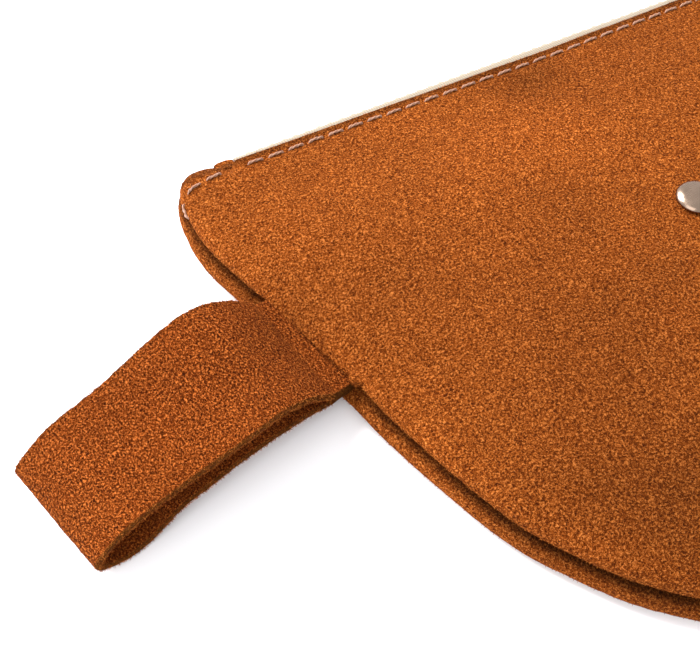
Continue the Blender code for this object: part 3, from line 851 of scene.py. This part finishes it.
def stitch_rings(tree, start, end, steps=15):
    """Two twisted plies laid on a surface between two points, diving into it at both ends."""
    share = np.linspace(0, 1, steps)
    line = np.array(start) + (np.array(end) - np.array(start)) * share[:, None]
    path, normals = [], []
    for point in line:
        place, normal = tree.find_nearest(Vector(point))[:2]
        path.append(place)
        normals.append(normal)
    path, normals = np.array(path), np.array(normals)
    lift = THREAD_RADIUS * 1.15 - 1.25 * np.abs(2 * share - 1) ** 6
    path += normals * lift[:, None]
    side = np.cross(unit(np.gradient(path, axis=0)), normals)
    found = []
    for phase in (0, math.pi):
        angle = phase + share * 3.2 * math.pi
        twist = side * np.cos(angle)[:, None] + normals * np.sin(angle)[:, None]
        found.append(rings_round(path + twist * THREAD_RADIUS * 0.48, THREAD_RADIUS * 0.62, PLY_SIDES))
    return found


def make_stitches(looks, name, node, tree, side):
    """The row of stitches along the mouth, with the last ones turning down over the corners."""
    clear_of_panel = 20.0 if side > 0 else -6.0
    rings = []
    for k in range(-STITCHES // 2, STITCHES // 2):
        ends = []
        for x in (k * STITCH_PITCH + STITCH_GAP / 2, (k + 1) * STITCH_PITCH - STITCH_GAP / 2):
            y = float(mouth_edge(x)) - STITCH_IN
            ends.append(tree.ray_cast(Vector((x, y, clear_of_panel)), Vector((0, 0, -side)))[0])
        rings += stitch_rings(tree, ends[0] + Vector((0, 0.06 * (k % 3 - 1), 0)), ends[1])
    if side > 0:
        for mirror in (-1, 1):
            for (x0, y0, z0), (x1, y1, z1) in CORNER_STITCHES:
                rings += stitch_rings(tree, (mirror * x0, y0, z0), (mirror * x1, y1, z1))
    finish_piece(join_tubes(name, rings), looks["thread"], "pouch", "thread", node)


def extruded(xs, section):
    """A table of points: a line of (y, z) pairs repeated along X."""
    return np.stack(np.broadcast_arrays(xs[:, None], section[:, 0], section[:, 1]), axis=-1)


def make_tape(looks, name, node, side):
    """Half of the zip's tape, a little uneven between the rows of stitches."""
    section = resample(spline(TAPE_SECTION, 6), 34)
    xs = np.linspace(-TAPE_HALF, TAPE_HALF, 260)
    grid = extruded(xs, section * (1, side) + (ZIP_Y, ZIP_Z))
    free = smooth((ZIP_Y - 2.0 - grid[..., 1]) / 4)
    grid[..., 2] += -side * free * (0.12 + 0.12 * noise(grid * (1, 0.6, 0), 11, 41 + side))
    obj = grid_object(name, grid)
    solidify(obj, TAPE, 0.0)
    finish_piece(obj, looks["tape"], "pouch", "zip_tape", node)


def tooth_rings(x, side, seed):
    """One moulded tooth: a block on the cord, a neck and a rounded head past the middle."""
    turn = np.linspace(0, 2 * math.pi, TOOTH_SIDES, endpoint=False)
    round_x = np.sign(np.cos(turn)) * np.abs(np.cos(turn)) ** 0.6
    round_y = np.sign(np.sin(turn)) * np.abs(np.sin(turn)) ** 0.6
    lean = 0.03 * math.sin(seed * 2.4)
    rings = []
    for z, half_x, half_y in TOOTH:
        rings.append(np.column_stack([x + lean * z + half_x * round_x, ZIP_Y + half_y * round_y,
                                      np.full(TOOTH_SIDES, ZIP_Z + side * z)]))
    return np.array(rings)


def make_chain(looks, name, node, side, shift):
    """One row of teeth and the cord that it is moulded round."""
    xs = np.arange(-CHAIN_HALF, CHAIN_HALF + 0.1, 1.0)
    cord = np.column_stack([xs, np.full(len(xs), ZIP_Y), np.full(len(xs), ZIP_Z + side * CORD_Z)])
    rings = [rings_round(cord, CORD_RADIUS, 10)]
    for k in range(int(2 * CHAIN_HALF / TOOTH_PITCH)):
        rings.append(tooth_rings(-CHAIN_HALF + TOOTH_PITCH * (k + shift) + 0.9, side, k))
    finish_piece(join_tubes(name, rings), looks["teeth"], "pouch", "zip_plastic", node)


def plate(outline, holes, low, high, edge):
    """A flat part cut from an outline in X and Z, from low to high in Y, with rounded edges."""
    curve = bpy.data.curves.new("plate", "CURVE")
    curve.dimensions = "2D"
    curve.fill_mode = "BOTH"
    curve.extrude = ((high - low) / 2 - edge) * MM
    curve.bevel_depth = edge * MM
    curve.bevel_resolution = 3
    for points in [outline, *holes]:
        line = curve.splines.new("POLY")
        line.points.add(len(points) - 1)
        for point, (x, z) in zip(line.points, points):
            point.co = (x * MM, z * MM, 0, 1)
        line.use_cyclic_u = True
    curve.offset = -edge * MM
    holder = link(bpy.data.objects.new("plate", curve))
    graph = bpy.context.evaluated_depsgraph_get()
    mesh = bpy.data.meshes.new_from_object(holder.evaluated_get(graph))
    bpy.data.objects.remove(holder)
    places = places_of(mesh) / MM
    faces = [tuple(face.vertices) for face in mesh.polygons]
    bpy.data.meshes.remove(mesh)
    return np.column_stack([places[:, 0], (low + high) / 2 - places[:, 2], places[:, 1]]), faces


def joined(name, parts):
    """One mesh of several (points, faces) in millimetres, with its sharp corners kept."""
    points, faces, start = [], [], 0
    for place, cells in parts:
        points.append(place)
        faces += [tuple(k + start for k in cell) for cell in cells]
        start += len(place)
    obj = mesh_object(name, np.vstack(points), faces)
    obj.data.set_sharp_from_angle(angle=math.radians(40))
    return obj


def rounded(half, steps=8):
    """A smooth closed outline through (x, z) points and their mirror images below z = 0."""
    points = half + [(x, -z) for x, z in half[:0:-1]]
    return spline(points + points[:3], steps)[steps:-steps - 1].tolist()


def make_slider(looks):
    """The slider: an outer and an inner plate, the wedge between the rows and the bail."""
    half = SLIDER_HALF
    wide = [(-half, 0.0), (-half + 0.3, 1.7), (-2.6, 2.5), (0.0, 3.2), (2.8, 3.4), (half - 0.4, 2.6),
            (half, 1.0)]
    outer = [(SLIDER_X + x, ZIP_Z + z) for x, z in rounded(wide)]
    inner = [(SLIDER_X + 0.97 * x, ZIP_Z + 0.62 * z) for x, z in rounded(wide)]
    parts = [plate(outer, [], *OUTER_PLATE, 0.28), plate(inner, [], *INNER_PLATE, 0.25)]
    wedge = [(SLIDER_X - 0.8, ZIP_Z - 0.12), (SLIDER_X + 3.6, ZIP_Z - 0.2), (SLIDER_X + 3.6, ZIP_Z + 0.2),
             (SLIDER_X - 0.8, ZIP_Z + 0.12)]
    parts.append(plate(wedge, [], *WEDGE, 0.02))
    span = np.linspace(0, math.pi, 25)
    arch_x = -2.4 * np.sign(np.cos(span)) * np.abs(np.cos(span)) ** 0.55
    arch_y = 76.8 + 2.45 * np.sin(span) ** 0.55
    bail = np.column_stack([SLIDER_X + arch_x, arch_y, np.full(25, ZIP_Z)])
    rings = rings_round(bail, 0.46, 12)
    parts.append((rings.reshape(-1, 3), tube_faces(*rings.shape[:2])))
    finish_piece(joined("zip_slider_metal", parts), looks["nickel"], "slider", "nickel", "zip_slider")


def capsule(x0, x1, half, steps=12):
    """A closed outline with round ends, from x0 to x1 about the zip's middle."""
    turn = np.linspace(-math.pi / 2, math.pi / 2, steps)
    right = [(x1 - half + half * math.cos(a), ZIP_Z + half * math.sin(a)) for a in turn]
    left = [(x0 + half - half * math.cos(a), ZIP_Z - half * math.sin(a)) for a in turn]
    return right + left


def make_puller(looks):
    """The puller: a long tab with a window at one end for the bail and a grip hole at the other."""
    near, far = SLIDER_X + 0.45, SLIDER_X - PULLER_LENGTH
    body = [(far, 0.0), (far + 0.4, 2.1), (far + 2.2, 3.1), (far + 8, 3.15), (near - 9, 2.4),
            (near - 2.6, 2.2), (near - 0.5, 2.0), (near, 1.2)]
    outline = [(x, ZIP_Z + z) for x, z in rounded(body)]
    window = [(near - 4.3, ZIP_Z - 1.0), (near - 0.9, ZIP_Z - 1.0), (near - 0.9, ZIP_Z + 1.0),
              (near - 4.3, ZIP_Z + 1.0)]
    grip = capsule(far + 3.0, far + 14.0, 1.4)
    tab = plate(outline, [window, grip], PULLER_Y - PULLER_THICK / 2, PULLER_Y + PULLER_THICK / 2, 0.2)
    finish_piece(joined("zip_puller_metal", [tab]), looks["nickel"], "puller", "nickel", "zip_puller")


def lathe(name, outline, place, steps=96):
    """A turned part: (radius, height) pairs about a vertical line."""
    turn = np.linspace(0, 2 * math.pi, steps, endpoint=False)
    rings = [np.column_stack([place[0] + r * np.cos(turn), place[1] + r * np.sin(turn),
                              np.full(steps, place[2] + z)]) for r, z in outline]
    return join_tubes(name, [np.array(rings)])


def box_mm(node):
    """The lowest and highest corner of a CAD node, in millimetres."""
    low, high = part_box(node)
    return np.array(low) / MM, np.array(high) / MM


def make_stud(looks):
    """The stud's domed cap with its turned-under edge, and the washer inside."""
    low, high = box_mm("stud_cap")
    base = high[2] - STUD_RISE
    outline = [(1.1, low[2] - base), (1.2, low[2] - base + 0.15), (1.2, -0.05), (3.7, 0.0), (4.25, 0.08),
               (4.48, 0.32), (4.46, 0.62), (4.2, 1.0), (3.7, 1.38), (3.0, 1.68), (2.1, 1.87), (1.1, 1.97),
               (0.3, 2.0)]
    outline = [(r, min(z, STUD_RISE)) for r, z in resample(spline(outline, 6), 60)]
    cap = lathe("stud_cap_metal", outline, (*STUD, base))
    finish_piece(cap, looks["stud"], "pouch", "nickel", "stud_cap")
    low, high = box_mm("stud_washer")
    thick = high[2] - low[2]
    ring = [(1.5, 0.15), (1.65, 0.0), (3.7, 0.0), (3.95, 0.12), (4.0, 0.3), (4.0, thick - 0.3),
            (3.9, thick - 0.1), (3.6, thick), (1.7, thick), (1.5, thick - 0.15), (1.5, 0.15)]
    washer = lathe("stud_washer_metal", ring, (*STUD, low[2]), 64)
    finish_piece(washer, looks["nickel"], "pouch", "nickel", "stud_washer")


def make_tab(looks, name, node):
    """A scrap of suede folded over the end of the tapes."""
    low, high = box_mm(node)
    deep = SUEDE * 0.5
    y0, y1, z0, z1 = low[1], high[1] - deep, low[2] + deep, high[2] - deep
    fold = [(y0, z1), ((y0 + y1) / 2, z1 + 0.05), (y1 - 0.5, z1 - 0.25), (y1, z1 - 1.3),
            (y1 + 0.05, (z0 + z1) / 2), (y1, z0 + 1.3), (y1 - 0.5, z0 + 0.25),
            ((y0 + y1) / 2, z0 - 0.05), (y0, z0)]
    line = resample(spline(fold, 6), 40)
    xs = np.linspace(low[0] + 0.1, high[0] - 0.1, 22)
    grid = extruded(xs, line)
    centre = np.array([(low[0] + high[0]) / 2, y0, (z0 + z1) / 2])
    out = grid - centre
    out[..., 0] = 0
    out /= np.linalg.norm(out, axis=-1)[..., None] + 1e-6
    crowned = 1 - ((grid[..., :1] - centre[0]) / (xs[-1] - centre[0])) ** 4
    grid += out * (0.16 * noise(grid, 1.6, 51)[..., None] - 0.25 * (1 - crowned))
    obj = grid_object(name, grid[::-1])
    obj.data.materials.append(looks["suede"])
    obj.data.materials.append(looks["cut"])
    paint(obj, np.full(grid.shape[:2], 1.0))
    solidify(obj, SUEDE * 0.9, 0.0, 1)
    finish_piece(obj, None, "pouch", "suede", node)


def make_lining(looks, name, node):
    """A lining sheet with soft creases, laid on the surface of its CAD node."""
    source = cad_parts[node]
    mesh = source.data.copy()
    mesh.name = name
    obj = link(bpy.data.objects.new(name, mesh))
    obj.matrix_world = source.matrix_world.copy()
    bm = bmesh.new()
    bm.from_mesh(mesh)
    bmesh.ops.remove_doubles(bm, verts=bm.verts, dist=0.001 * MM)
    bmesh.ops.triangulate(bm, faces=bm.faces)
    long_edges = [edge for edge in bm.edges if edge.calc_length() > 3 * MM]
    bmesh.ops.subdivide_edges(bm, edges=long_edges, cuts=3, use_grid_fill=False)
    bm.to_mesh(mesh)
    bm.free()
    places = places_of(mesh)
    at = places / MM
    fade = smooth((66 - at[:, 1]) / 16) * smooth((rim_distance(at[:, :2]) - 12) / 12)
    places[:, 2] += fade * (0.35 * noise(at * (1, 0.5, 0), 18, 61) + 0.12 * noise(at * (1, 1, 0), 6, 62)) * MM
    mesh.vertices.foreach_set("co", places.ravel())
    mesh.update()
    mesh.shade_smooth()
    mesh.materials.clear()
    mesh.materials.append(looks["lining"])
    finish_piece(obj, None, "pouch", "lining", node)


# ---------------------------------------------------------------- everything

def main():
    """Build the stage and every piece."""
    make_stage()
    looks = {
        "suede": suede("tan_suede", "Object", TAN, 0.88),
        "strap": suede("tan_suede_strap", "UV", LOOP_TAN, 0.8),
        "cut": suede("suede_cut_edge", "Object", CUT, 0.7),
        "strap_cut": suede("suede_cut_edge_strap", "UV", CUT, 0.7),
        "lining": cloth("lining_cotton", (0.45, 0.36, 0.25), 420.0, 0.0001),
        "tape": cloth("zip_tape", (0.30, 0.245, 0.18), 500.0, 0.00012),
        "teeth": plastic("zip_plastic", (0.33, 0.275, 0.21)),
        "nickel": metal("satin_nickel", (0.34, 0.285, 0.25)),
        "stud": metal("stud_nickel", (0.30, 0.215, 0.16)),
        "thread": thread("pale_thread", (0.33, 0.155, 0.085)),
        "fibre": fibre("suede_fibre"),
    }
    front = make_panel("front_suede", "front_panel", looks, FRONT_ROLL, front_top, LOOP_ROOM, 1)
    back = make_panel("back_suede", "back_panel", looks, BACK_ROLL, back_under, -LOOP_ROOM, -1)
    make_loop(looks)
    make_stitches(looks, "stitches_front", "topstitch_front", front, 1)
    make_stitches(looks, "stitches_back", "topstitch_back", back, -1)
    make_tape(looks, "tape_front", "zip_tape_front", 1)
    make_tape(looks, "tape_back", "zip_tape_back", -1)
    make_chain(looks, "teeth_front", "zip_chain_front", 1, 0.0)
    make_chain(looks, "teeth_back", "zip_chain_back", -1, 0.5)
    make_slider(looks)
    make_puller(looks)
    make_stud(looks)
    make_tab(looks, "end_tab_left", "zip_end_tab_left")
    make_tab(looks, "end_tab_right", "zip_end_tab_right")
    make_lining(looks, "lining_front", "front_lining")
    make_lining(looks, "lining_back", "back_lining")
    for name, look in (("zip_top_stop_front", "teeth"), ("zip_top_stop_back", "teeth"),
                       ("zip_bottom_stop", "teeth"), ("seam_thread", "thread")):
        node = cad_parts[name]
        node.data.materials.clear()
        node.data.materials.append(looks[look])


main()
